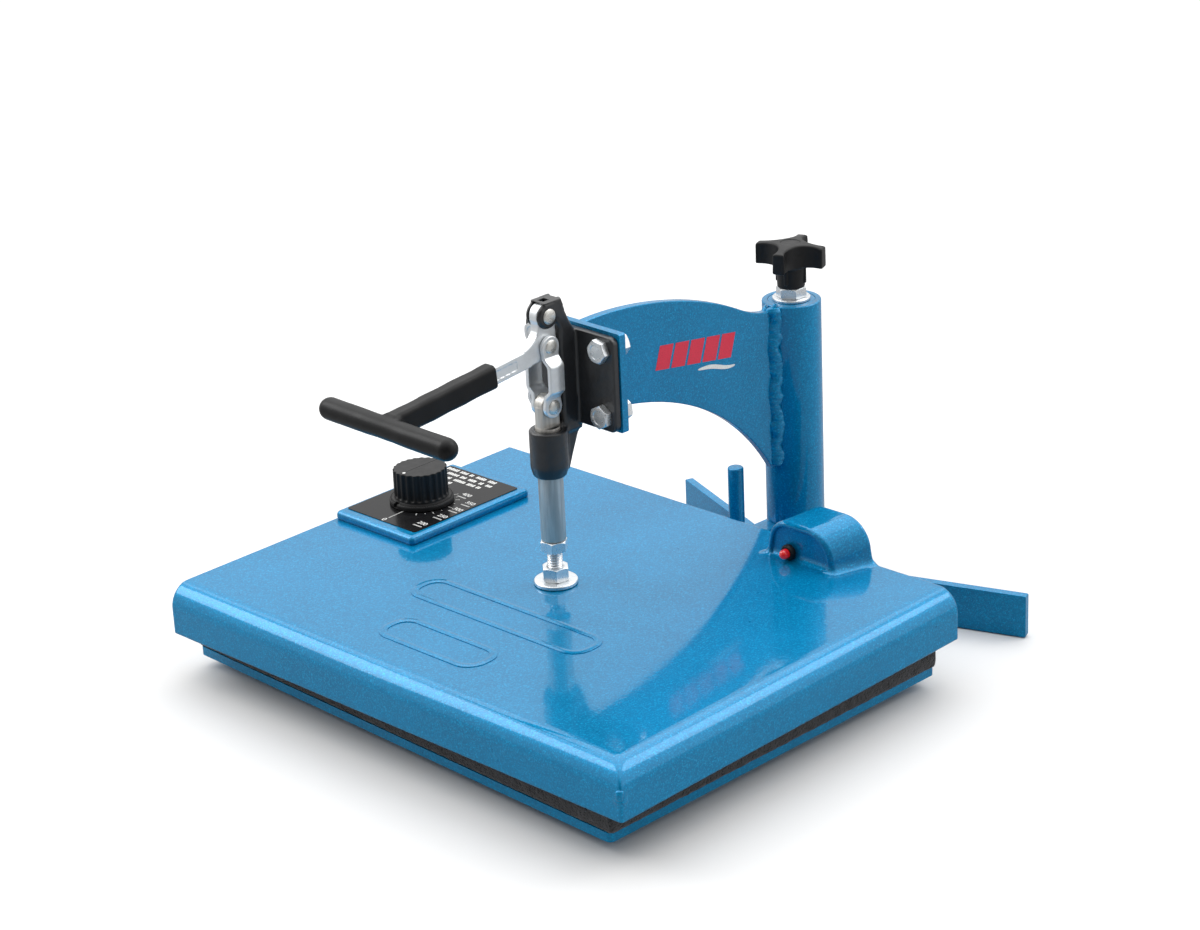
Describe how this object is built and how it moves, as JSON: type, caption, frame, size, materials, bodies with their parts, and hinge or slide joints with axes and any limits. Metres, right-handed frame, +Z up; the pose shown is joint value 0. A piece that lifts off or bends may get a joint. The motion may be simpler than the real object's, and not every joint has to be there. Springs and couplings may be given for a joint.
{
  "type": "tabletop printing press",
  "caption": "Small swing-away heat press: a thermostat-controlled heated head on a toggle clamp, carried by an arched arm that turns on a rear column above a padded base plate.",
  "frame": {"origin": "on the table, under the middle of the base plate and on the axis of the press plunger", "axes": "+X to the right along the front edge, +Y to the back towards the column, +Z up, parallel to the plunger"},
  "size_m": [0.3251, 0.3374, 0.2021],
  "materials": {
    "blue_paint": "glossy metallic enamel",
    "plain_steel": "ground steel",
    "zinc_plate": "bright zinc plating",
    "bronze": "sintered bronze",
    "feet_rubber": "matt rubber",
    "foam": "open silicone foam",
    "black_casting": "satin black powder coat on cast steel",
    "knob_plastic": "moulded phenolic",
    "aluminium": "machined",
    "element_sheath": "oxidised sheath",
    "blanket": "ceramic fibre blanket",
    "ceramic": "steatite",
    "label_black": "printed film",
    "lens_red": "clear red lens",
    "grip_vinyl": "dipped vinyl"
  },
  "bodies": {
    "base": {"base_plate": "blue_paint", "base_strap": "blue_paint", "rear_tongue": "blue_paint", "leg_right": "blue_paint", "leg_left": "blue_paint", "stop_pin": "blue_paint", "column_post": "plain_steel", "rubber_feet": "feet_rubber", "foot_screws": "plain_steel", "foam_pad": "foam", "lift_spring": "plain_steel"},
    "washer": {"thrust_washer": "zinc_plate"},
    "height_knob": {"star_knob": "knob_plastic", "knob_stud": "plain_steel", "knob_hex_nut": "zinc_plate"},
    "arm": {"swivel_tube": "blue_paint", "tube_top_plug": "blue_paint", "upper_bush": "bronze", "lower_bush": "bronze", "stop_lug": "blue_paint", "arm_web": "blue_paint", "clamp_mount_plate": "blue_paint", "clamp_bolts": "zinc_plate", "clamp_nuts": "zinc_plate", "toggle_frame": "black_casting", "handle_pivot_rivet": "zinc_plate"},
    "plunger": {"plunger_rod": "plain_steel", "link_pin_lower": "zinc_plate", "jam_nut": "zinc_plate", "spindle_stud": "zinc_plate", "spindle_nut": "zinc_plate", "flange_washer": "zinc_plate", "stud_lock_nut": "zinc_plate"},
    "head": {"head_cover": "blue_paint", "cord_hood": "blue_paint", "pressure_plate": "plain_steel", "platen_standoffs": "plain_steel", "platen_screws": "plain_steel", "heat_platen": "aluminium", "heating_element": "element_sheath", "insulation_blanket": "blanket", "thermostat_body": "ceramic", "thermostat_plate": "blue_paint", "dial_label": "label_black", "lamp_bezel": "knob_plastic", "indicator_lens": "lens_red", "cord_strain_relief": "knob_plastic", "power_cord": "feet_rubber"},
    "dial": {"thermostat_knob": "knob_plastic"},
    "links": {"link_right": "zinc_plate", "link_left": "zinc_plate"},
    "handle": {"handle_lever": "zinc_plate", "handle_crossbar": "plain_steel", "lever_grip": "grip_vinyl", "crossbar_grip": "grip_vinyl"}
  },
  "joints": [
    {"name": "arm_height", "type": "slide", "parent": "base", "child": "washer", "axis": [0, 0, 1], "range_m": [0, 0.00635], "deforming": ["lift_spring"]},
    {"name": "knob_turn", "type": "hinge", "parent": "washer", "child": "height_knob", "pos_m": [0, 0.18, 0.17], "axis": [0, 0, 1], "range_deg": [0, 1440]},
    {"name": "arm_swing", "type": "hinge", "parent": "washer", "child": "arm", "pos_m": [0, 0.18, 0.1], "axis": [0, 0, 1], "range_deg": [0, 110]},
    {"name": "handle_pivot", "type": "hinge", "parent": "arm", "child": "handle", "pos_m": [0, 0, 0.1947], "axis": [-1, 0, 0], "range_deg": [0, 100]},
    {"name": "plunger_slide", "type": "slide", "parent": "arm", "child": "plunger", "axis": [0, 0, 1], "range_m": [0, 0.02248]},
    {"name": "link_pivot", "type": "hinge", "parent": "plunger", "child": "links", "pos_m": [0, 0, 0.1475], "axis": [1, 0, 0], "range_deg": [0, 29.42]},
    {"name": "head_swivel", "type": "hinge", "parent": "plunger", "child": "head", "pos_m": [0, 0, 0.05], "axis": [0, 0, 1], "range_deg": [-5, 2]},
    {"name": "thermostat_turn", "type": "hinge", "parent": "head", "child": "dial", "pos_m": [-0.12516, 0.01966, 0.06], "axis": [0, 0, 1], "range_deg": [0, 270]}
  ],
  "couplings": [
    {"joint": "knob_turn", "follows": "arm_height", "rad_per_m": 3957.9},
    {"joint": "plunger_slide", "follows": "handle_pivot", "m_per_rad": 0.012881},
    {"joint": "link_pivot", "follows": "handle_pivot", "ratio": 0.29396}
  ]
}
